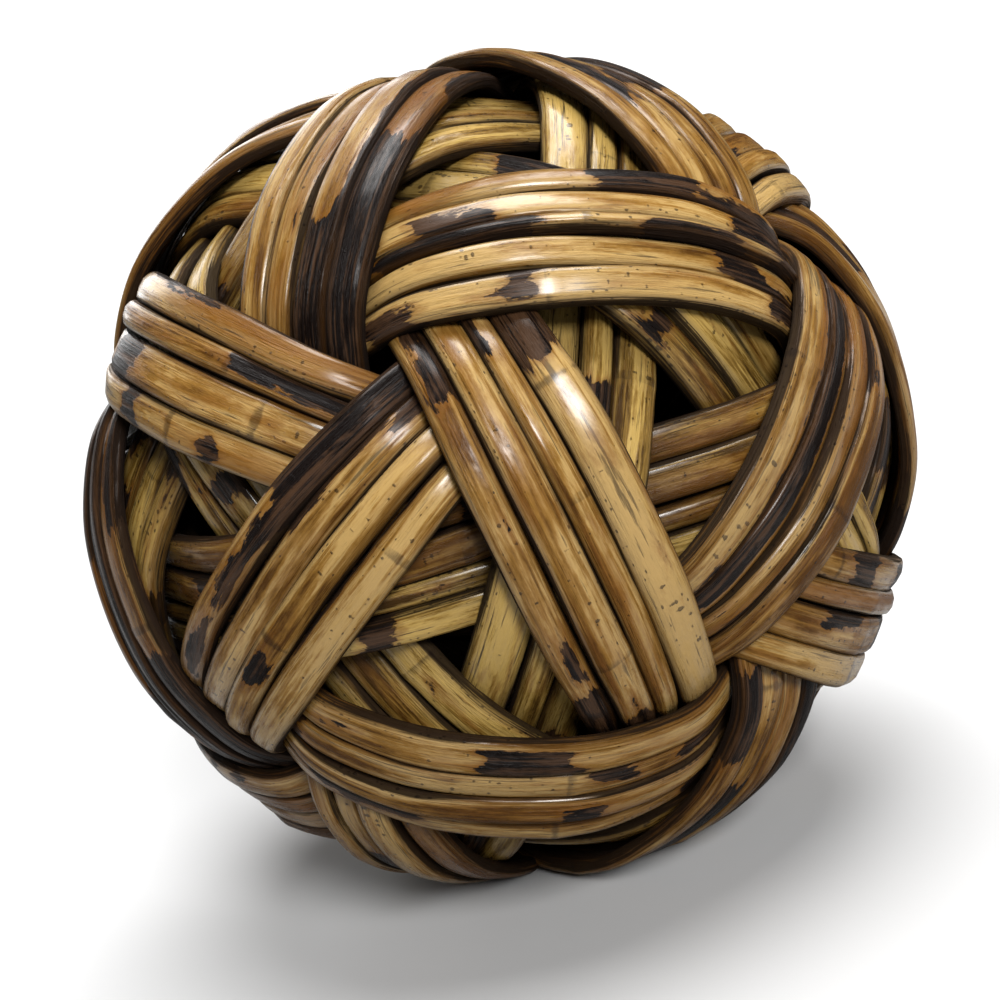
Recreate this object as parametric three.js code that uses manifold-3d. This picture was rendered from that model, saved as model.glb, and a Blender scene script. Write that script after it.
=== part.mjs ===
// Decorative ball woven from split rattan canes, 200 mm across.
//
// Sixteen rings of parallel canes are woven through each other. The weave has
// the symmetry of an icosahedron: ten outer rings stand on the axes through its
// faces and show as thirty bars, one on each edge, and six inner rings stand on
// the axes through its corners and show in the openings between the bars.
// Every cane is a closed hoop and a mesh of its own. Millimetres, +Z up.

import * as THREE from 'three';
import { mergeVertices } from 'three/addons/utils/BufferGeometryUtils.js';
import Module from 'manifold-3d';

// ---- driving dimensions ----
const BALL_RADIUS = 100;       // to the outside of the highest canes
const CANE_THICKNESS = 3.3;    // flat back to rounded front
const CANE_GAP = 0.4;          // between neighbours in a ring
const FRONT_SHARE = 0.5;       // width of a cane's front, as a share of its back
const FLAT_DEPTH = 0.6;        // worn off the lowest canes, so that the ball stays put
const TURN = 6;                // of the lowest five corners about +Z, in degrees

// How far a ring rises and dips about its mean radius as it goes over and under,
// and where along the wave its hoops bend, in degrees from the middle of a bar.
const OUTER = { waves: 3, crest: 7.9, knee: 4.6, crestEnd: 11, kneeEnd: 25 };
const INNER = { waves: 5, crest: 3.0, crestEnd: 9 };

// How wide a ring is over all its canes, and how that width is shared among the
// canes of each ring, from one side of the ring to the other. The canes of an
// outer ring lie close where it turns down, and spread out on top.
const OUTER_WIDTH = 28;
const OUTER_SPREAD = 1.12;
const OUTER_SHARES = [
  [1.2, 0.8, 0.9, 1.1], [1.05, 1, 0.9, 1.05], [1.1, 0.95, 1, 0.95], [1, 0.75, 1.2, 1.05],
  [0.85, 1.05, 0.5, 1, 1.1], [0.9, 1.1, 1, 1], [0.95, 1.05, 0.75, 1.25], [0.9, 0.9, 1.1, 1.1],
  [1.1, 0.9, 0.8, 1.2], [0.95, 1.1, 1.05, 0.9],
];
const INNER_WIDTH = { 3: 26.5, 4: 27.5 };
const INNER_SHARES = [
  [1.1, 1.15, 0.75, 1], [1.2, 0.75, 1.05], [1, 0.85, 1.15], [1.1, 1, 0.9],
  [0.9, 1.15, 0.95], [1.15, 0.9, 0.95],
];

const MEAN_RADIUS = BALL_RADIUS - CANE_THICKNESS / 2 - OUTER.crest;
const DEGREE = Math.PI / 180;

// ---- the icosahedron that the weave follows, with one corner straight down ----
function corners() {
  const level = 1 / Math.sqrt(5);
  const reach = 2 / Math.sqrt(5);
  const list = [new THREE.Vector3(0, 0, -1), new THREE.Vector3(0, 0, 1)];
  for (let k = 0; k < 5; k++) {
    const low = (TURN + 72 * k) * DEGREE;
    const down = new THREE.Vector3(reach * Math.cos(low), reach * Math.sin(low), -level);
    list.push(down, down.clone().negate());
  }
  return list;
}

const CORNERS = corners();
const joined = (p, q) => Math.abs(p.dot(q) - 1 / Math.sqrt(5)) < 1e-6;

function edges() {
  const list = [];
  CORNERS.forEach((p, i) => CORNERS.slice(i + 1).forEach((q) => {
    if (joined(p, q)) list.push({ p, q, middle: p.clone().add(q).normalize() });
  }));
  return list;
}

const EDGES = edges();

// One axis of each opposite pair, corner axes or face axes.
function halfOf(axes) {
  return axes.filter((a, i) => !axes.slice(0, i).some((b) => a.dot(b) < -0.999));
}

function faceAxes() {
  const list = [];
  CORNERS.forEach((p, i) => CORNERS.forEach((q, j) => CORNERS.forEach((r, k) => {
    const inOrder = i < j && j < k;
    if (inOrder && joined(p, q) && joined(q, r) && joined(p, r)) {
      list.push(p.clone().add(q).add(r).normalize());
    }
  })));
  return halfOf(list);
}

// A ring runs on top where the corner ahead of it lies to its left.
function runsOver(edge, axis) {
  const heading = axis.clone().cross(edge.middle);
  const ahead = edge.p.clone().sub(edge.q).dot(heading);
  return ahead * edge.p.dot(axis) > 0;
}

// The three directions of a ring: out through the middle of one of its bars,
// a quarter turn on, and its axis.
function ringFrame(axis) {
  const own = EDGES.filter((e) => Math.abs(e.middle.dot(axis)) < 1e-6);
  const start = own.find((e) => runsOver(e, axis)).middle;
  return { out: start, on: axis.clone().cross(start), axis };
}

// ---- where a hoop bends: phase, height above the mean radius, spread ----
function outerBends() {
  const { waves, crest, knee, crestEnd, kneeEnd } = OUTER;
  const half = 180 / waves;
  const wave = [
    [-crestEnd, crest, OUTER_SPREAD], [crestEnd, crest, OUTER_SPREAD],
    [kneeEnd, knee, 1], [half - kneeEnd, -knee, 1],
    [half - crestEnd, -crest, 1], [half + crestEnd, -crest, 1],
    [half + kneeEnd, -knee, 1], [2 * half - kneeEnd, knee, 1],
  ];
  return repeatWave(wave, waves);
}

function innerBends() {
  const { waves, crest, crestEnd } = INNER;
  const half = 180 / waves;
  const wave = [
    [-crestEnd, crest, 1], [crestEnd, crest, 1],
    [half - crestEnd, -crest, 1], [half + crestEnd, -crest, 1],
  ];
  return repeatWave(wave, waves);
}

function repeatWave(wave, count) {
  const list = [];
  for (let k = 0; k < count; k++) {
    wave.forEach(([phase, ...rest]) => list.push([phase + (360 / count) * k, ...rest]));
  }
  return list;
}

// ---- one cane: a closed hoop of half-round section, flat side to the centre ----
function hoop(frame, bends, offset, width) {
  const halfBack = width / 2;
  const halfFront = halfBack * FRONT_SHARE;
  const halfThick = CANE_THICKNESS / 2;
  const section = [
    [-halfBack, -halfThick], [halfBack, -halfThick], [halfFront, halfThick], [-halfFront, halfThick],
  ];
  const place = [];
  bends.forEach(([phase, height, spread]) => {
    const radius = MEAN_RADIUS + height;
    const lean = Math.asin(offset * spread / radius);
    const round = frame.out.clone().multiplyScalar(Math.cos(phase * DEGREE))
      .addScaledVector(frame.on, Math.sin(phase * DEGREE));
    const outward = round.clone().multiplyScalar(Math.cos(lean))
      .addScaledVector(frame.axis, Math.sin(lean));
    const sideways = frame.axis.clone().multiplyScalar(Math.cos(lean))
      .addScaledVector(round, -Math.sin(lean));
    section.forEach(([across, rise]) => {
      const point = outward.clone().multiplyScalar(radius + rise)
        .addScaledVector(sideways, across * spread);
      place.push(point.x, point.y, point.z);
    });
  });
  const faces = [];
  const sides = section.length;
  bends.forEach((_, i) => {
    const here = i * sides;
    const next = ((i + 1) % bends.length) * sides;
    for (let k = 0; k < sides; k++) {
      const m = (k + 1) % sides;
      faces.push(here + k, next + m, next + k, here + k, here + m, next + m);
    }
  });
  const geometry = new THREE.BufferGeometry();
  geometry.setAttribute('position', new THREE.Float32BufferAttribute(place, 3));
  geometry.setIndex(faces);
  return geometry;
}

// Widths of the canes of one ring, from one side of the ring to the other.
function caneWidths(shares, ringWidth) {
  const whole = shares.reduce((sum, share) => sum + share, 0);
  return shares.map((share) => share * (ringWidth - CANE_GAP * (shares.length - 1)) / whole);
}

function ringOfCanes(name, axis, bends, shares, ringWidth, colour) {
  const frame = ringFrame(axis);
  const material = new THREE.MeshStandardMaterial({ color: colour, roughness: 0.4, metalness: 0 });
  let edge = -ringWidth / 2;
  return caneWidths(shares, ringWidth).map((width, k) => {
    const mesh = new THREE.Mesh(hoop(frame, bends, edge + width / 2, width), material);
    mesh.name = `${name}_cane_${k + 1}`;
    edge += width + CANE_GAP;
    return mesh;
  });
}

const canes = [];
faceAxes().forEach((axis, i) => {
  const shares = OUTER_SHARES[i];
  canes.push(...ringOfCanes(`outer_ring_${i + 1}`, axis, outerBends(), shares, OUTER_WIDTH, '#8a6231'));
});
halfOf(CORNERS).forEach((axis, i) => {
  const shares = INNER_SHARES[i];
  const width = INNER_WIDTH[shares.length];
  canes.push(...ringOfCanes(`inner_ring_${i + 1}`, axis, innerBends(), shares, width, '#7d5c2b'));
});

// ---- stand the ball on the floor, and flatten what would roll ----
const box = new THREE.Box3();
canes.forEach((mesh) => box.union(new THREE.Box3().setFromObject(mesh)));
const middle = box.getCenter(new THREE.Vector3());
canes.forEach((mesh) => mesh.geometry.translate(-middle.x, -middle.y, -box.min.z - FLAT_DEPTH));

const wasm = await Module();
wasm.setup();

function solidOf(geometry) {
  const bare = geometry.clone();
  bare.deleteAttribute('normal');
  bare.deleteAttribute('uv');
  const merged = mergeVertices(bare);
  return new wasm.Manifold(new wasm.Mesh({
    numProp: 3,
    vertProperties: new Float32Array(merged.attributes.position.array),
    triVerts: new Uint32Array(merged.index.array),
  }));
}

function geometryOf(solid) {
  const mesh = solid.getMesh();
  const geometry = new THREE.BufferGeometry();
  geometry.setAttribute('position', new THREE.BufferAttribute(mesh.vertProperties, 3));
  geometry.setIndex(new THREE.BufferAttribute(mesh.triVerts, 1));
  return geometry;
}

const floor = new THREE.BoxGeometry(4 * BALL_RADIUS, 4 * BALL_RADIUS, BALL_RADIUS);
floor.translate(0, 0, -BALL_RADIUS / 2);
const floorSolid = solidOf(floor);

const ball = new THREE.Group();
canes.forEach((mesh) => {
  mesh.geometry.computeBoundingBox();
  if (mesh.geometry.boundingBox.min.z < 0) {
    mesh.geometry = geometryOf(solidOf(mesh.geometry).subtract(floorSolid));
  }
  mesh.geometry.computeVertexNormals();
  ball.add(mesh);
});

export default ball;
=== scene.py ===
import math

import bpy
import numpy as np
from mathutils import Matrix, Vector


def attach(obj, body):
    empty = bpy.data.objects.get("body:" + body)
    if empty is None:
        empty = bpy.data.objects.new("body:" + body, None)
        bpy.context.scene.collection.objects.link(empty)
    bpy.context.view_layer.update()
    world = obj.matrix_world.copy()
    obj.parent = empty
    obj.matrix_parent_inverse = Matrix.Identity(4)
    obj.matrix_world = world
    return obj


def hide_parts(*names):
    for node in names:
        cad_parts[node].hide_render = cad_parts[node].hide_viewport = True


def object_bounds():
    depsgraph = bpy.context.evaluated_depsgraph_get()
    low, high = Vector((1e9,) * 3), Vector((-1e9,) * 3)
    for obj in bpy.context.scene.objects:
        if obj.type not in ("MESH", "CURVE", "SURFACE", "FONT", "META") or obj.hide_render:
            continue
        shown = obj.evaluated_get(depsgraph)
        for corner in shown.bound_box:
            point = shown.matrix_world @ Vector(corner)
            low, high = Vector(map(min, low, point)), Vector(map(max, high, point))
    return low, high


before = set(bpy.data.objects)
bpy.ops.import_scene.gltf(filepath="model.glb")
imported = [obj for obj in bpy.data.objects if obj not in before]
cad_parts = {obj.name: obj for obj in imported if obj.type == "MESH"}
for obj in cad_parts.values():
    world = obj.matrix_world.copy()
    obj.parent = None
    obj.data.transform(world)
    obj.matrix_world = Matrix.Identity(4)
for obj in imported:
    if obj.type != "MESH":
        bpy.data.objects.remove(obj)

cad_low, cad_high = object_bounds()

# The ball as a whole. It is hollow and woven from split rattan, and it lies on the five lowest
# canes, whose faces are worn flat by a little more than half a millimetre.
WORN_FLAT = 0.0006
ball_centre = np.array([0.0, 0.0, (cad_high.z - WORN_FLAT) / 2])
ball_radius = (cad_high.x - cad_low.x) / 2


# The course of a cane. Every cane is one split stem bent into a closed hoop, which rises over its
# neighbours and dips under them, three times round in an outer ring and five times in an inner one.
WAVES = {"outer": 3, "inner": 5}
STEPS_ROUND = {"outer": 420, "inner": 360}
EASE = math.radians(2.6)       # how softly a cane bends where it turns down
JUST_OFF_FLOOR = 2e-5          # above which a corner of a solid isn't one of its flat
STATION_GAP = 0.02             # in radians, more than between the four corners of one station
UPWARD = np.array([0.31, 0.17, 0.93])      # a direction that no ring's axis is square to
SLANTED = np.array([0.0, 0.3, 1.0])        # and one that no ring's axis lies along


def corner_points(node):
    """The corners of a node's solid from the ball's centre, each once, less those of its flat."""
    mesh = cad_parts[node].data
    corners = np.empty(len(mesh.vertices) * 3)
    mesh.vertices.foreach_get("co", corners)
    corners = np.unique(np.round(corners.reshape(-1, 3), 5), axis=0)
    return corners[corners[:, 2] > JUST_OFF_FLOOR] - ball_centre


def ring_frame(node, waves):
    """Axis of a ring, and the directions to the middle of its foremost stretch on top and a quarter on.

    The axis is the direction in which the hoop's corners spread least. Each corner has an arrow as
    long as its reach past the mean, which turns as often round the ring as the wave does, and the
    sum of the arrows points to a crest."""
    points = corner_points(node)
    axis = np.linalg.svd(points - points.mean(0))[2][2]
    axis = axis if axis @ UPWARD > 0 else -axis
    side = np.cross(axis, SLANTED)
    side /= np.linalg.norm(side)
    other = np.cross(axis, side)
    reach = np.linalg.norm(points, axis=1)
    phase = np.arctan2(points @ other, points @ side)
    crest = np.angle(np.sum((reach - reach.mean()) * np.exp(1j * waves * phase))) / waves
    crests = crest + np.arange(waves) * math.tau / waves
    tops = np.outer(np.cos(crests), side) + np.outer(np.sin(crests), other)
    start = tops[np.argmin(tops[:, 1])]
    return axis, start, np.cross(axis, start)


def course(node, ring, steps):
    """Phase, distance from the ball's centre, side offset and width at even steps round a cane.

    The solid's corners are gathered by phase into stations of four, and a station that the flat
    cuts into is left out. Each value runs straight from station to station and is then smoothed by
    a bell curve."""
    axis, start, on = ring
    points = corner_points(node)
    phase = np.arctan2(points @ on, points @ start) % math.tau
    order = np.argsort(phase)
    points, phase = points[order], phase[order]
    groups = np.split(np.arange(len(phase)), np.flatnonzero(np.diff(phase) > STATION_GAP) + 1)
    whole = [g for g in groups if len(g) == 4]
    at = np.array([phase[g].mean() for g in whole])
    aside = points @ axis
    reach = np.linalg.norm(points, axis=1)
    theta = np.arange(steps) / steps * math.tau
    bell = np.exp(-0.5 * (((theta + math.pi) % math.tau - math.pi) / EASE) ** 2)
    softened = []
    for value in ([reach[g].mean() for g in whole], [aside[g].mean() for g in whole],
                  [np.ptp(aside[g]) for g in whole]):
        line = np.interp(theta, at, value, period=math.tau)
        softened.append(np.fft.irfft(np.fft.rfft(line) * np.fft.rfft(bell / bell.sum()), steps))
    return theta, *softened


# The canes as surfaces. A cane is a stem split down its length: the bark side is rounded and faces
# out, the split side is nearly flat. No two are alike, so each one wanders, twists and swells a little.
CANE_THICKNESS = 0.0041
THICKNESS_RANGE = (0.9, 1.05)
POINTS_ROUND = 18              # of the section
SPLIT_SHARE = 0.3              # of the thickness that lies on the split side
CLOSE_FIT = {"outer": 1.08, "inner": 1.05}     # real canes are squeezed until they touch
SIDE_WANDER = 0.0006
HEIGHT_WANDER, HEIGHT_SPREAD = 0.0008, 0.0005  # along a cane, and from cane to cane
TWIST_WANDER, TWIST_SPREAD = 0.18, 0.06        # in radians
WIDTH_WANDER, THICKNESS_WANDER = 0.045, 0.05   # as shares
BOXY_RANGE = (0.48, 0.72)      # power that the width is raised to: 1 is an ellipse, 0 a box
DOME_RANGE = (0.5, 0.8)        # power that the bark side's height is raised to
SPLIT_POWER = 0.5              # and the split side's
DOME_LEAN = 0.16
RIDGE_HEIGHT = 0.05            # as a share of the dome's
RIDGE_COUNTS = (3, 6)          # at least three, and fewer than six
RIDGE_WANDER = 2.0             # of the ridges round the section, in radians
HOOP_RADIUS = 0.09             # about, on which lengths along a cane are reckoned
JOINT_SPACING = 0.16           # between the swollen joints of the stem
JOINT_LENGTH = 0.0022
JOINT_WIDER, JOINT_THICKER = 0.03, 0.09        # as shares
JOINT_WANDER = 0.3             # of the joints from their even places, in radians


def wander(rng, theta, size, slowest=2, fastest=9):
    """A closed random curve: a sum of waves, each weaker the quicker it is."""
    total = np.zeros_like(theta)
    for wave in range(slowest, fastest + 1):
        total += rng.normal() * np.cos(wave * theta + rng.uniform(0, math.tau)) / wave
    return size * total


def joints_of_stem(rng, theta):
    """How near each place is to a joint of the stem: a bell curve at each of a few even places."""
    count = round(math.tau * HOOP_RADIUS / JOINT_SPACING)
    places = rng.uniform(0, math.tau) + np.arange(count) * math.tau / count
    places = places + rng.uniform(-JOINT_WANDER, JOINT_WANDER, count)
    gap = np.abs((theta[:, None] - places + math.pi) % math.tau - math.pi) * HOOP_RADIUS
    return np.exp(-(gap / JOINT_LENGTH) ** 2).max(1)


def square_to(line, twist):
    """Directions square to a closed line at each of its points, out from the centre and aside.

    The line's own direction is from the point behind to the point ahead. What is left of the way
    out when that is taken from it is square to it. Both directions are then turned by the twist."""
    along = np.roll(line, -1, 0) - np.roll(line, 1, 0)
    along /= np.linalg.norm(along, axis=1)[:, None]
    out = line - along * np.sum(line * along, 1)[:, None]
    out /= np.linalg.norm(out, axis=1)[:, None]
    aside = np.cross(out, along)
    cosine, sine = np.cos(twist)[:, None], np.sin(twist)[:, None]
    return out * cosine + aside * sine, aside * cosine - out * sine


def cane_surface(ring, theta, level, offset, width, rng, family):
    """Points of a closed cane on a grid, steps along it by points round its section.

    The section's rounded side is half an ellipse raised to a power, its split side a flatter one.
    It stands square to the course, turned by a small twist. Its dome leans now to one side and now
    to the other, and low ridges run along it."""
    axis, start, on = ring
    offset = offset + wander(rng, theta, SIDE_WANDER)
    level = level + wander(rng, theta, HEIGHT_WANDER) + rng.normal() * HEIGHT_SPREAD
    round_about = np.outer(np.cos(theta), start) + np.outer(np.sin(theta), on)
    foot = np.sqrt(level ** 2 - offset ** 2)
    line = round_about * foot[:, None] + axis * offset[:, None]
    out, aside = square_to(line, wander(rng, theta, TWIST_WANDER) + rng.normal() * TWIST_SPREAD)

    joint = joints_of_stem(rng, theta)
    wide = 1 + wander(rng, theta, WIDTH_WANDER) + JOINT_WIDER * joint
    wide = width / 2 * CLOSE_FIT[family] * wide
    thick = CANE_THICKNESS * rng.uniform(*THICKNESS_RANGE)
    thick = thick * (1 + wander(rng, theta, THICKNESS_WANDER) + JOINT_THICKER * joint)

    angle = np.arange(POINTS_ROUND) / POINTS_ROUND * math.tau
    across = np.sign(np.cos(angle)) * np.abs(np.cos(angle)) ** rng.uniform(*BOXY_RANGE)
    dome = np.sin(angle) > 0
    rise = np.where(dome, 1 - SPLIT_SHARE, SPLIT_SHARE) * np.sign(np.sin(angle))
    rise = rise * np.abs(np.sin(angle)) ** np.where(dome, rng.uniform(*DOME_RANGE), SPLIT_POWER)
    lean = wander(rng, theta, DOME_LEAN)[:, None] * np.cos(angle)
    turns = angle * rng.integers(*RIDGE_COUNTS) + wander(rng, theta, RIDGE_WANDER)[:, None]
    height = 1 + dome * (lean + RIDGE_HEIGHT * np.sin(turns))
    section = aside[:, None] * (wide[:, None] * across)[:, :, None]
    section = section + out[:, None] * (thick[:, None] * rise * height)[:, :, None]
    return line[:, None] + section, angle, joint


def closed_mesh(name, grid):
    """A mesh through a grid of points that closes on itself both ways."""
    steps, around = grid.shape[:2]
    row, column = np.meshgrid(np.arange(steps), np.arange(around), indexing="ij")
    ahead, beside = (row + 1) % steps, (column + 1) % around
    faces = np.stack([row * around + column, ahead * around + column,
                      ahead * around + beside, row * around + beside], -1).reshape(-1, 4)
    mesh = bpy.data.meshes.new(name)
    mesh.vertices.add(steps * around)
    mesh.vertices.foreach_set("co", (grid + ball_centre).reshape(-1))
    mesh.loops.add(faces.size)
    mesh.loops.foreach_set("vertex_index", faces.reshape(-1))
    mesh.polygons.add(len(faces))
    mesh.polygons.foreach_set("loop_start", np.arange(len(faces)) * 4)
    mesh.polygons.foreach_set("use_smooth", np.ones(len(faces), bool))
    mesh.update(calc_edges=True)
    mesh.validate()
    return mesh, faces


def lay_grain(mesh, faces, grid):
    """A map of the surface in metres: u along the cane, by its length, and v round its section."""
    steps, around = grid.shape[:2]
    length = np.linalg.norm(np.diff(grid.mean(1), axis=0), axis=1).sum() * steps / (steps - 1)
    girth = np.linalg.norm(np.diff(grid[0], axis=0), axis=1).sum() * around / (around - 1)
    first = faces[:, 0]
    i, j = first // around, first % around
    u = np.stack([i, i + 1, i + 1, i], 1) / steps * length
    v = np.stack([j, j, j + 1, j + 1], 1) / around * girth
    layer = mesh.uv_layers.new(name="grain")
    layer.data.foreach_set("uv", np.stack([u, v], -1).reshape(-1))


def note(mesh, name, values):
    """Keeps one number for each point of a mesh, for its finish to read."""
    layer = mesh.attributes.new(name, "FLOAT", "POINT")
    layer.data.foreach_set("value", values.astype(np.float32).reshape(-1))


# The finish. The canes are varnished over the bare tan wood, with lengthwise fibre, orange and brown
# stains, dark dirt and painted shade along their sides, painted shade where they dip under others, and
# ragged patches of dark bark that were never scraped off.
class Wire:
    """A socket of a finish that sums can be written with."""

    def __init__(self, finish, socket):
        self.finish, self.socket = finish, socket

    def reckon(self, operation, other):
        return self.finish.node("ShaderNodeMath", {"operation": operation}, {0: self, 1: other})

    def __add__(self, other):
        return self.reckon("ADD", other)

    def __sub__(self, other):
        return self.reckon("SUBTRACT", other)

    def __mul__(self, other):
        return self.reckon("MULTIPLY", other)

    def __rsub__(self, other):
        return self * -1 + other

    __radd__ = __add__
    __rmul__ = __mul__


CANES_APART = 37.0             # how far apart in the noise the canes lie, so that no two are alike


class Finish:
    """A material and its nodes."""

    def __init__(self, name):
        self.material = bpy.data.materials.new(name)
        self.material.use_nodes = True
        self.tree = self.material.node_tree
        self.shader = self.tree.nodes["Principled BSDF"]

    def feed(self, socket, value):
        """Sets a socket to a number or colour, or joins a wire to it."""
        if isinstance(value, Wire):
            self.tree.links.new(value.socket, socket)
        else:
            socket.default_value = value

    def node(self, kind, settings, inputs, output=0):
        """A node of a kind, with its settings, its inputs by place or name, and one output."""
        made = self.tree.nodes.new(kind)
        for key, value in settings.items():
            setattr(made, key, value)
        for key, value in inputs.items():
            self.feed(made.inputs[key], value)
        return Wire(self, made.outputs[output])

    def mix(self, factor, first, second):
        """One colour passing into another."""
        return self.node("ShaderNodeMix", {"data_type": "RGBA"}, {0: factor, 6: first, 7: second}, 2)

    def step(self, value, low, high):
        """0 below low, 1 above high, and smooth between."""
        return self.node("ShaderNodeMapRange", {"interpolation_type": "SMOOTHSTEP"},
                         {0: value, 1: low, 2: high})

    def grain(self, place, along, across, shift=0.0):
        """A place on a cane counted in grains: so many a metre along it and across it."""
        u, v, cane = place
        return self.node("ShaderNodeCombineXYZ", {},
                         {0: u * along, 1: v * across, 2: cane * CANES_APART + shift})

    def noise(self, place, along, across, detail, shift, rough):
        """Noise in such grains, about a half."""
        return self.node("ShaderNodeTexNoise", {"noise_dimensions": "3D"},
                         {"Vector": self.grain(place, along, across, shift), "Scale": 1.0,
                          "Detail": detail, "Roughness": rough})


STAIN = (0.185, 0.070, 0.011, 1)
BARK_BROWN = (0.062, 0.030, 0.014, 1)
BARK_BLACK = (0.0060, 0.0032, 0.0024, 1)
# The darkest colour serves both real dirt (specks, fibre lines, joints) and painted shade (down the
# cane sides, over the split side, and where canes dip under others).
DIRT_AND_SHADE = (0.0090, 0.0042, 0.0020, 1)


def rattan(name, light, tan, deep, age):
    """Bare wood of three tones. Age, from 0 to 1, opens its fibres and fills them with dirt.

    The noises are counted in grains a metre, few along the cane and many across it, and each is
    taken about zero. Their weighted sum is the tone, which passes from deep by tan to light."""
    finish = Finish(name)
    read = {noted: finish.node("ShaderNodeAttribute", {"attribute_name": noted}, {}, "Fac")
            for noted in ("cane", "pale", "bark", "side", "joint", "deep")}
    surface = finish.node("ShaderNodeUVMap", {"uv_map": "grain"}, {})
    u, v = (finish.node("ShaderNodeSeparateXYZ", {}, {0: surface}, side) for side in (0, 1))
    place = u, v, read["cane"]

    fibre = finish.noise(place, 40, 1800, 5.0, 0.0, 0.65) - 0.5
    streak = finish.noise(place, 10, 430, 4.0, 5.1, 0.6) - 0.5
    blotch = finish.noise(place, 30, 210, 5.0, 9.7, 0.6) - 0.5
    mottle = finish.noise(place, 120, 850, 5.0, 15.2, 0.7) - 0.5
    pores = finish.node("ShaderNodeTexVoronoi", {"feature": "F1"},
                        {"Vector": finish.grain(place, 600, 700), "Scale": 1.0}, "Distance")
    ragged = finish.noise(place, 75, 430, 6.0, 21.3, 0.62) - 0.5

    tone = streak * 2.2 + blotch * 2.2 + fibre * (1.3 + age) + mottle * (0.8 + age)
    tone = tone + read["pale"] - 0.46
    wood = finish.mix(finish.step(tone, -0.55, 0.0), deep, tan)
    wood = finish.mix(finish.step(tone, -0.10, 0.36), wood, light)
    amber = finish.noise(place, 13, 150, 4.0, 44.0, 0.55) + mottle * 0.3 - read["pale"] * 0.25
    stained = finish.step(amber, 0.37, 0.54)
    wood = finish.mix(stained * (0.75 - 0.4 * age), wood, STAIN)
    specks = finish.step(blotch * (0.9 + age) - pores - fibre * 0.9, -0.10, 0.03)
    wood = finish.mix(specks * 0.7, wood, DIRT_AND_SHADE)
    lines = finish.step(fibre + streak * 0.7, 0.12, 0.22)
    wood = finish.mix(lines * (0.65 + 0.25 * age), wood, DIRT_AND_SHADE)

    # Bark stands where its border, torn by noise, passes a half, with a scorched rim of wood.
    border = read["bark"] + ragged * 1.6
    peel = finish.step(border, 0.47, 0.52)
    wood = finish.mix(finish.step(border, 0.22, 0.50) * 0.6, wood, STAIN)
    brown = finish.step(streak * 2.0 + fibre * 2.8 + mottle * 1.6 + read["pale"] * 0.3, 0.0, 0.45)
    bark = finish.mix(brown, BARK_BLACK, BARK_BROWN)
    colour = finish.mix(peel, wood, bark)

    # Dirt gathers at the joints. Down the sides and over the split side the colour darkens with dirt
    # and painted shade from the grooves between canes, and where the canes dip under others it darkens
    # with painted shade.
    ring = finish.step(read["joint"] + ragged * 0.8, 0.80, 1.0)
    colour = finish.mix(ring * 0.55, colour, DIRT_AND_SHADE)
    # Dirt and painted shade: the colour passes toward the deep tone near each cane's sides and over its
    # split side.
    colour = finish.mix(finish.step(read["side"], 0.40, 1.0) * 0.5, colour, deep)
    # Dirt and painted shade in the grooves between canes: a ragged near-black band along each side, and
    # over the whole split side.
    grime_and_painted_shade = finish.step(read["side"] + blotch * 0.9 + fibre * 0.8, 0.77, 0.95)
    colour = finish.mix(grime_and_painted_shade * 0.93, colour, DIRT_AND_SHADE)
    # Painted shade: the colour darkens where the cane dips under others, by how low it runs there.
    colour = finish.mix(finish.step(read["deep"] + blotch * 0.8, 0.25, 1.1) * 0.7, colour, DIRT_AND_SHADE)

    # Varnish lies in a coat of its own, worn thin in places and on bark, and gone under the dirt and
    # painted shade along the sides.
    finish.feed(finish.shader.inputs["Base Color"], colour)
    dullness = 0.31 + fibre * 0.5 + mottle * 0.6 + peel * 0.06 + grime_and_painted_shade * 0.4
    finish.feed(finish.shader.inputs["Roughness"], dullness)
    gloss = finish.step(blotch + streak + mottle * 0.6, -0.14, 0.14)
    finish.feed(finish.shader.inputs["Coat Weight"], gloss * (1 - peel * 0.6) * (1 - grime_and_painted_shade))
    finish.shader.inputs["Coat Roughness"].default_value = 0.23
    finish.shader.inputs["Specular IOR Level"].default_value = 0.12
    relief = fibre * 0.8 + streak * 0.5 + mottle * 0.7 + peel * (0.4 + fibre * 1.2)
    relief = relief - specks * 0.4 - lines * 0.3
    bump = finish.node("ShaderNodeBump", {}, {"Strength": 0.9, "Distance": 0.0007, "Height": relief})
    finish.feed(finish.shader.inputs["Normal"], bump)
    return finish.material


FINISHES = {
    "outer": rattan("outer_cane", (0.47, 0.298, 0.102, 1), (0.255, 0.128, 0.025, 1),
                    (0.080, 0.032, 0.0055, 1), 0.2),
    "inner": rattan("inner_cane", (0.50, 0.325, 0.088, 1), (0.235, 0.133, 0.025, 1),
                    (0.055, 0.026, 0.0050, 1), 0.8),
}


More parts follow.
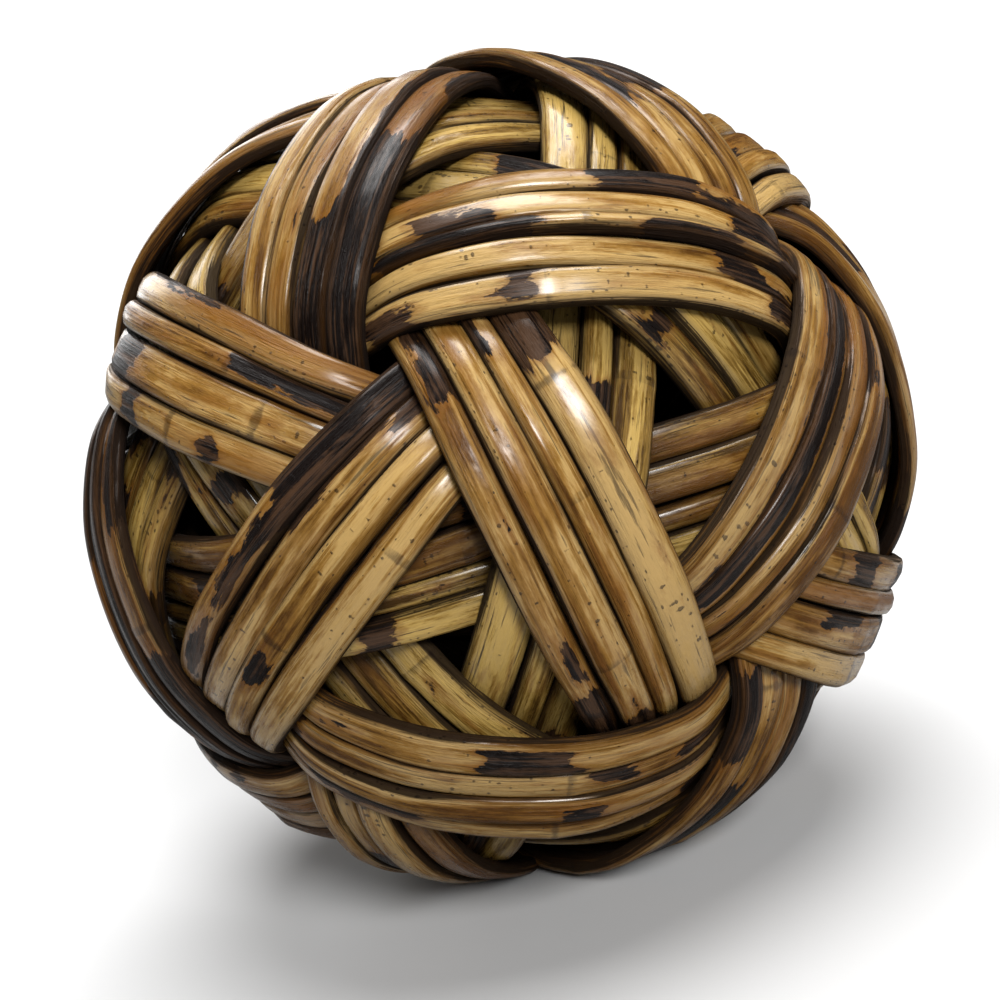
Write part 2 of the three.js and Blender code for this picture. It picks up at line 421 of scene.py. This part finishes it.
# Bark left on the canes. Where it stays, it runs along the stem and stops short at a joint of the
# stem or frays out along one side. Each patch is given in degrees along the cane from the middle of
# its foremost stretch, and from one side of the cane, -1, to the other, 1.
WHOLE = (-1.6, 1.6)
BARK_LEFT = {
    "outer_ring_5_cane_1": [(-1, 12, *WHOLE), (12, 44, -1.6, 0.0), (-44, -36, *WHOLE)],
    "outer_ring_5_cane_2": [(16, 44, *WHOLE), (-22, -13, -1.6, 0.1), (-42, -27, *WHOLE)],
    "outer_ring_5_cane_3": [(-27, -9, *WHOLE), (4, 16, -1.6, 0.1), (22, 44, *WHOLE)],
    "outer_ring_5_cane_4": [(15, 42, -1.6, -0.1), (13, 18, -0.6, 1.6)],
    "outer_ring_5_cane_5": [(-13, -9, -0.3, 1.6), (21, 28, -0.4, 0.7), (-30, -23, -1.6, 0.3)],
    "outer_ring_7_cane_1": [(-36, -20, 0.0, 1.6), (9, 16, -0.2, 0.6), (19, 36, *WHOLE)],
    "outer_ring_7_cane_2": [(26, 31, *WHOLE)],
    "outer_ring_7_cane_3": [(-40, -22, -1.6, 0.0)],
    "outer_ring_7_cane_4": [(-44, -19, *WHOLE)],
    "outer_ring_2_cane_1": [(10, 44, *WHOLE), (-22, 12, -0.6, 0.1)],
    "outer_ring_2_cane_2": [(26, 44, 0.0, 1.6), (10, 26, 0.5, 1.6)],
    "outer_ring_2_cane_3": [(-10, -6, -0.5, 0.4)],
    "outer_ring_2_cane_4": [(-2, 22, 0.9, 1.6)],
    "outer_ring_1_cane_1": [(-34, 44, -1.6, -0.55), (30, 44, *WHOLE)],
    "outer_ring_1_cane_2": [(-44, 22, -0.2, 1.6), (22, 44, 0.5, 1.6)],
    "outer_ring_1_cane_3": [(-44, -8, -1.6, -0.3), (24, 40, -0.8, 0.4)],
    "outer_ring_1_cane_4": [(10, 30, 0.4, 1.6)],
    "outer_ring_4_cane_1": [(-12, 8, 0.5, 1.6), (118, 126, -0.6, 0.6)],
    "outer_ring_4_cane_2": [(15, 36, -0.2, 1.6)],
    "outer_ring_4_cane_3": [(-13, -4, -0.9, 1.0)],
    "outer_ring_8_cane_1": [(-30, 40, -1.6, -0.55)],
    "outer_ring_8_cane_2": [(-44, -30, *WHOLE), (-28, -12, 0.2, 1.6)],
    "outer_ring_8_cane_3": [(13, 44, *WHOLE), (-30, 12, 0.5, 1.6)],
    "outer_ring_8_cane_4": [(-44, -10, 0.2, 1.6), (0, 44, *WHOLE)],
    "outer_ring_9_cane_1": [(-40, -10, 0.0, 1.6), (8, 42, *WHOLE)],
    "outer_ring_9_cane_2": [(-42, 42, *WHOLE)],
    "outer_ring_9_cane_3": [(-20, 44, *WHOLE)],
    "outer_ring_9_cane_4": [(-44, -6, *WHOLE), (12, 20, -0.5, 1.6)],
    "outer_ring_3_cane_1": [(-34, -29, *WHOLE), (-3, 9, -1.6, 0.5)],
    "outer_ring_3_cane_2": [(-36, -26, *WHOLE), (11, 15, 0.0, 1.6), (22, 36, 0.0, 1.6)],
    "outer_ring_3_cane_3": [(-40, -34, *WHOLE), (7, 12, -1.6, 0.2)],
    "outer_ring_3_cane_4": [(-24, -10, 0.0, 1.6), (24, 40, *WHOLE)],
    "outer_ring_6_cane_1": [(-30, -18, *WHOLE), (200, 232, 0.2, 1.6)],
    "outer_ring_6_cane_2": [(-12, 30, *WHOLE), (232, 250, -1.6, 0.2)],
    "outer_ring_6_cane_4": [(-36, 4, *WHOLE), (204, 246, *WHOLE)],
    "inner_ring_1_cane_2": [(-16, 14, *WHOLE)],
    "inner_ring_1_cane_3": [(-20, -6, -1.6, 0.2)],
    "inner_ring_2_cane_2": [(-6, 18, *WHOLE)],
    "inner_ring_5_cane_1": [(-18, 6, *WHOLE)],
}
LOOSE_PATCHES = 9              # further patches round a cane, about
LOOSE_LENGTH = (0.02, 0.40)    # from the shortest to the longest, in radians
LOOSE_LOW, LOOSE_HIGH = (-0.8, 0.5), 1.2       # where their sides may lie
LOOSE_WIDTH = 0.3              # at least
SET_STRETCH = math.radians(46)     # each side of the middle, where only the patches above lie
FRAY_ALONG = 0.011             # how far a patch's ragged end reaches
FRAY_ASIDE = 1.0               # and its side, as a share of half the cane
FEWEST, MOST = 0.16, 0.86      # so that flecks lie outside a patch and holes within it


def bark_field(node, rng, theta, angle):
    """How much bark is left at each point, from 0 to 1, and one half along a patch's border.

    Each patch is the least of four distances, to its two ends and its two sides."""
    placed = BARK_LEFT.get(node, [])
    patches = [(math.radians(a), math.radians(b), low, high) for a, b, low, high in placed]
    for _ in range(rng.poisson(LOOSE_PATCHES)):
        start = rng.uniform(0, math.tau)
        long = math.exp(rng.uniform(*np.log(LOOSE_LENGTH)))
        low = rng.choice([WHOLE[0], WHOLE[0], rng.uniform(*LOOSE_LOW)])
        high = rng.choice([WHOLE[1], rng.uniform(max(low, -1.0) + LOOSE_WIDTH, LOOSE_HIGH)])
        middle = (start + long / 2 + math.pi) % math.tau - math.pi
        if not placed or abs(middle) > SET_STRETCH:
            patches.append((start, start + long, low, high))
    field = np.full((len(theta), len(angle)), FEWEST)
    aside = np.cos(angle)[None]
    for start, end, low, high in patches:
        middle, half = (start + end) / 2, (end - start) / 2
        far = np.abs((theta[:, None] - middle + math.pi) % math.tau - math.pi)
        inside = np.minimum((half - far) * ball_radius / FRAY_ALONG,
                            np.minimum(aside - low, high - aside) / FRAY_ASIDE)
        field = np.maximum(field, np.clip(0.5 + inside, FEWEST, MOST))
    return field


# The canes in their places. Each is paler or darker than its neighbours, as the stems it was split
# from were: from 0, dark and amber, to 1, straw yellow, set here for those in front and drawn for
# the rest. A ring's canes share one axis and lie side by side.
PALE = {
    "outer_ring_5_cane_1": 0.50, "outer_ring_5_cane_2": 0.60, "outer_ring_5_cane_3": 0.55,
    "outer_ring_5_cane_4": 0.70, "outer_ring_5_cane_5": 0.80, "outer_ring_7_cane_1": 0.35,
    "outer_ring_7_cane_2": 0.45, "outer_ring_7_cane_3": 0.60, "outer_ring_7_cane_4": 0.90,
    "outer_ring_2_cane_1": 0.45, "outer_ring_2_cane_2": 0.40, "outer_ring_2_cane_3": 0.65,
    "outer_ring_2_cane_4": 0.65, "outer_ring_3_cane_1": 0.55, "outer_ring_3_cane_2": 0.40,
    "outer_ring_3_cane_3": 0.45, "outer_ring_3_cane_4": 0.30, "outer_ring_1_cane_1": 0.40,
    "outer_ring_1_cane_2": 0.15, "outer_ring_1_cane_3": 0.45, "outer_ring_1_cane_4": 0.30,
    "outer_ring_4_cane_1": 0.45, "outer_ring_4_cane_2": 0.35, "outer_ring_4_cane_3": 0.40,
    "outer_ring_4_cane_4": 0.65, "outer_ring_8_cane_1": 0.60, "outer_ring_8_cane_2": 0.50,
    "outer_ring_8_cane_3": 0.45, "outer_ring_8_cane_4": 0.15, "outer_ring_9_cane_1": 0.15,
    "outer_ring_9_cane_2": 0.10, "outer_ring_9_cane_3": 0.05, "outer_ring_9_cane_4": 0.15,
    "inner_ring_5_cane_2": 0.85, "inner_ring_1_cane_4": 0.75, "inner_ring_2_cane_1": 0.95,
    "inner_ring_1_cane_1": 0.15, "inner_ring_1_cane_2": 0.20,
}
PALE_RANGE = (0.2, 0.8)        # of the rest


def make_cane(node, family, ring, seed):
    """One cane in place of its node's solid. Nothing of it reaches below the floor, and the seam of
    its grain lies half a wave past a crest, where the cane is under others."""
    rng = np.random.default_rng(seed)
    theta, level, offset, width = course(node, ring, STEPS_ROUND[family])
    grid, angle, joint = cane_surface(ring, theta, level, offset, width, rng, family)
    grid[:, :, 2] = np.maximum(grid[:, :, 2], -ball_centre[2])
    half_way = len(theta) // (2 * WAVES[family])
    grid = np.roll(grid, -half_way, 0)
    mesh, faces = closed_mesh(node + "_cane", grid)
    lay_grain(mesh, faces, grid)
    spread = np.ones((len(theta), len(angle)))
    note(mesh, "cane", spread * rng.uniform(0, 1))
    note(mesh, "pale", spread * PALE.get(node, rng.uniform(*PALE_RANGE)))
    # How near each point is to a side of the cane, with the whole split side at 1, for the finish to
    # darken with dirt and painted shade.
    note(mesh, "side", spread * np.where(np.sin(angle) > 0, np.abs(np.cos(angle)), 1.0))
    note(mesh, "joint", np.roll(spread * joint[:, None], -half_way, 0))
    note(mesh, "bark", np.roll(bark_field(node, rng, theta, angle), -half_way, 0))
    # How low the cane runs at each place, from 0 on a crest to 1 at a dip, for the finish to paint
    # shade where it passes under others.
    note(mesh, "deep", np.roll(spread * ((level.max() - level) / np.ptp(level))[:, None], -half_way, 0))
    mesh.materials.append(FINISHES[family])
    piece = bpy.data.objects.new(node.replace("_cane_", "_strand_"), mesh)
    bpy.context.scene.collection.objects.link(piece)
    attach(piece, "root")
    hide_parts(node)
    family + "_cane"


rings = {}
for node in sorted(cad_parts):
    family, _, number, _, _ = node.split("_")
    rings.setdefault((family, int(number)), []).append(node)
for (family, number), nodes in sorted(rings.items()):
    ring = ring_frame(nodes[1], WAVES[family])
    for k, node in enumerate(nodes):
        make_cane(node, family, ring, seed=1000 * (family == "inner") + 10 * number + k)


# The studio: a plain pale floor that runs out of sight, a soft light from above in front, a wide
# one overhead, a weak one from behind, and a surround that looks as bright as the floor.
FLOOR_SHADE = 0.62
LIGHTS = {                     # direction, strength, and width of the light in degrees
    "key_light": ((0.26, -0.80, 0.50), 3.1, 20),
    "overhead_light": ((0.20, 0.05, 1.0), 4.0, 44),
    "back_light": ((-0.30, 0.80, 0.40), 0.9, 40),
}
FILL = 0.06                    # from the surround, all round
BOUNCE_SHADE = 0.25            # the floor throws back less than it shows, as a small table would
FLOOR_REACH = 40.0
floor_mesh = bpy.data.meshes.new("floor")
edge = [(-FLOOR_REACH, -FLOOR_REACH, 0), (FLOOR_REACH, -FLOOR_REACH, 0),
        (FLOOR_REACH, FLOOR_REACH, 0), (-FLOOR_REACH, FLOOR_REACH, 0)]
floor_mesh.from_pydata(edge, [], [(0, 1, 2, 3)])
floor = bpy.data.objects.new("floor", floor_mesh)
bpy.context.scene.collection.objects.link(floor)
pale_floor = Finish("pale_floor")
seen_directly = pale_floor.node("ShaderNodeLightPath", {}, {}, "Is Camera Ray")
shades = [(shade, shade, shade, 1) for shade in (BOUNCE_SHADE, FLOOR_SHADE)]
pale_floor.feed(pale_floor.shader.inputs["Base Color"], pale_floor.mix(seen_directly, *shades))
pale_floor.shader.inputs["Roughness"].default_value = 0.95
pale_floor.shader.inputs["Specular IOR Level"].default_value = 0.0
floor_mesh.materials.append(pale_floor.material)

floor_light = FILL
for name, (toward, strength, softness) in LIGHTS.items():
    data = bpy.data.lights.new(name, "SUN")
    data.energy, data.angle = strength, math.radians(softness)
    sun = bpy.data.objects.new(name, data)
    sun.rotation_mode = "QUATERNION"
    sun.rotation_quaternion = Vector(toward).to_track_quat("Z", "Y")
    bpy.context.scene.collection.objects.link(sun)
    floor_light += strength * Vector(toward).normalized().z / math.pi

world = bpy.data.worlds.new("surround")
bpy.context.scene.world = world
world.use_nodes = True
surround = world.node_tree
lit = surround.nodes["Background"]
lit.inputs[0].default_value = (1, 1, 1, 1)
lit.inputs[1].default_value = FILL
seen = surround.nodes.new("ShaderNodeBackground")
seen.inputs[0].default_value = (1, 1, 1, 1)
seen.inputs[1].default_value = FLOOR_SHADE * floor_light
either = surround.nodes.new("ShaderNodeMixShader")
path = surround.nodes.new("ShaderNodeLightPath")
surround.links.new(path.outputs["Is Camera Ray"], either.inputs[0])
surround.links.new(lit.outputs[0], either.inputs[1])
surround.links.new(seen.outputs[0], either.inputs[2])
surround.links.new(either.outputs[0], surround.nodes["World Output"].inputs[0])

# The camera, four radii from the ball's middle, a little above it and leaning over to one side.
VIEW_DISTANCE = 0.4
ELEVATION, LEAN = math.radians(9.77), math.radians(15.9)
back = Vector((0, -math.cos(ELEVATION), math.sin(ELEVATION)))
level = Vector((1, 0, 0))
upright = back.cross(level)
camera_data = bpy.data.cameras.new("camera")
camera_data.sensor_width, camera_data.lens = 36.0, 57.35
camera_data.shift_x, camera_data.shift_y = 0.0036, -0.0334
camera_data.clip_start = 0.01
camera = bpy.data.objects.new("camera", camera_data)
right = level * math.cos(LEAN) - upright * math.sin(LEAN)
over = level * math.sin(LEAN) + upright * math.cos(LEAN)
turn = Matrix((right, over, back)).transposed().to_4x4()
camera.matrix_world = Matrix.Translation(Vector(ball_centre) + back * VIEW_DISTANCE) @ turn
bpy.context.scene.collection.objects.link(camera)
bpy.context.scene.camera = camera
bpy.context.scene.view_settings.view_transform = "Standard"
